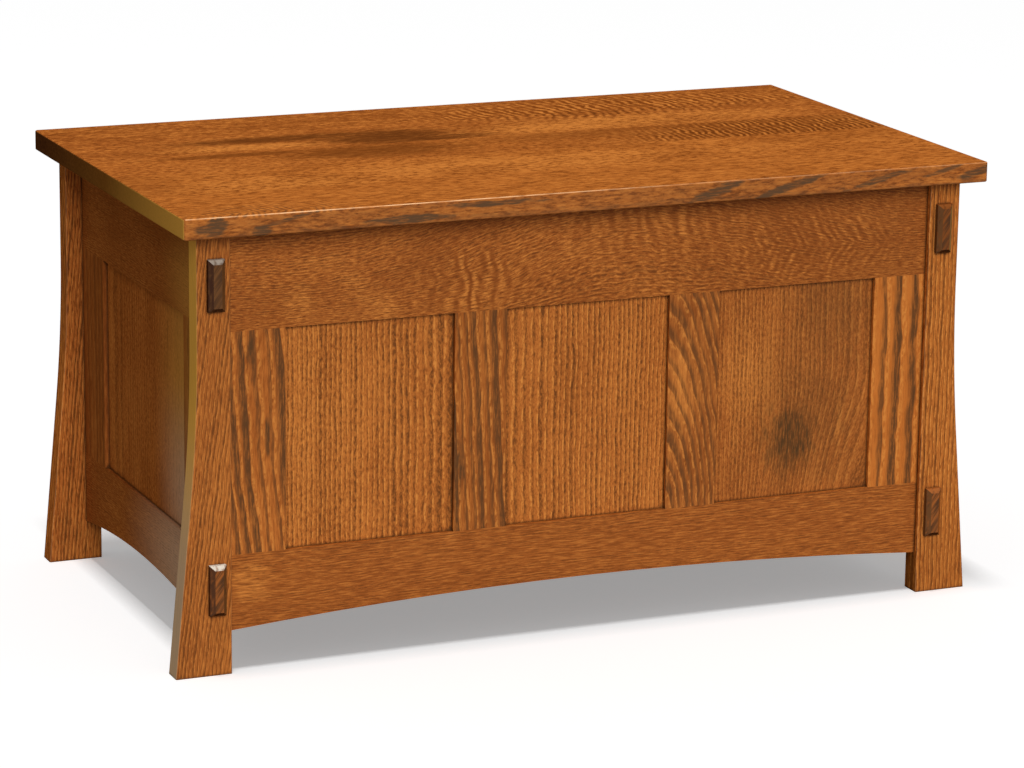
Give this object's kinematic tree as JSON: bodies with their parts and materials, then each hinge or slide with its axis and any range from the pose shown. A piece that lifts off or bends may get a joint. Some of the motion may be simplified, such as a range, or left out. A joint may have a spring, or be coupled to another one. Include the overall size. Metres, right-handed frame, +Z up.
{
  "type": "blanket chest",
  "caption": "Free-standing frame-and-panel blanket chest with splayed posts, arched rails, a cedar bottom and a back-hinged lid on slotted stays.",
  "frame": {"origin": "on the floor under the middle of the chest's outer box", "axes": "+X to the right along the chest as seen from its front, +Y from the front to the back, +Z up"},
  "size_m": [1.062, 0.598, 0.56],
  "materials": {
    "oak_lid": "satin stained oak",
    "oak_frame": "satin stained oak",
    "oak_panel": "satin stained oak",
    "oak_post": "satin stained oak",
    "walnut_plug": "satin dark walnut",
    "cedar": "bare aromatic cedar",
    "hinge_brass": "satin brass",
    "screw_brass": "satin brass",
    "bumper_rubber": "matt"
  },
  "bodies": {
    "case": {"back_bottom_rail": "oak_frame", "back_mullion_left": "oak_frame", "back_mullion_right": "oak_frame", "back_panel_center": "oak_panel", "back_panel_left": "oak_panel", "back_panel_right": "oak_panel", "back_stile_left": "oak_frame", "back_stile_right": "oak_frame", "back_top_rail": "oak_frame", "bottom_boards": "cedar", "bottom_cleats": "oak_frame", "cleat_screws": "screw_brass", "front_bottom_rail": "oak_frame", "front_mullion_left": "oak_frame", "front_mullion_right": "oak_frame", "front_panel_center": "oak_panel", "front_panel_left": "oak_panel", "front_panel_right": "oak_panel", "front_stile_left": "oak_frame", "front_stile_right": "oak_frame", "front_top_rail": "oak_frame", "hinge_case_leaf": "hinge_brass", "hinge_case_screws": "screw_brass", "hinge_pin": "hinge_brass", "left_bottom_rail": "oak_frame", "left_panel": "oak_panel", "left_stile_back": "oak_frame", "left_stile_front": "oak_frame", "left_top_rail": "oak_frame", "lid_bumpers": "bumper_rubber", "plug_lower_left": "walnut_plug", "plug_lower_right": "walnut_plug", "plug_upper_left": "walnut_plug", "plug_upper_right": "walnut_plug", "post_back_left": "oak_post", "post_back_right": "oak_post", "post_front_left": "oak_post", "post_front_right": "oak_post", "right_bottom_rail": "oak_frame", "right_panel": "oak_panel", "right_stile_back": "oak_frame", "right_stile_front": "oak_frame", "right_top_rail": "oak_frame", "stay_studs": "hinge_brass"},
    "lid": {"batten_screws": "screw_brass", "hinge_lid_leaf": "hinge_brass", "hinge_lid_screws": "screw_brass", "lid_batten_left": "oak_frame", "lid_batten_right": "oak_frame", "lid_board_1": "oak_lid", "lid_board_2": "oak_lid", "lid_board_3": "oak_lid", "lid_board_4": "oak_lid", "lid_board_5": "oak_lid", "stay_brackets": "hinge_brass", "stay_pivots": "hinge_brass", "stay_screws": "screw_brass"},
    "stay_left": {"stay_arm_left": "hinge_brass"},
    "stay_right": {"stay_arm_right": "hinge_brass"}
  },
  "joints": [
    {"name": "lid_hinge", "type": "hinge", "parent": "case", "child": "lid", "pos_m": [0, 0.27525, 0.53185], "axis": [-1, 0, 0], "range_deg": [0, 95]},
    {"name": "stay_left_pivot", "type": "hinge", "parent": "lid", "child": "stay_left", "pos_m": [-0.456, 0.14593, 0.5186], "axis": [-1, 0, 0], "range_deg": [-47.5, 0]},
    {"name": "stay_right_pivot", "type": "hinge", "parent": "lid", "child": "stay_right", "pos_m": [0.456, 0.14593, 0.5186], "axis": [-1, 0, 0], "range_deg": [-47.5, 0]}
  ],
  "couplings": [
    {"joint": "stay_left_pivot", "follows": "lid_hinge", "ratio": -0.5},
    {"joint": "stay_right_pivot", "follows": "lid_hinge", "ratio": -0.5}
  ]
}
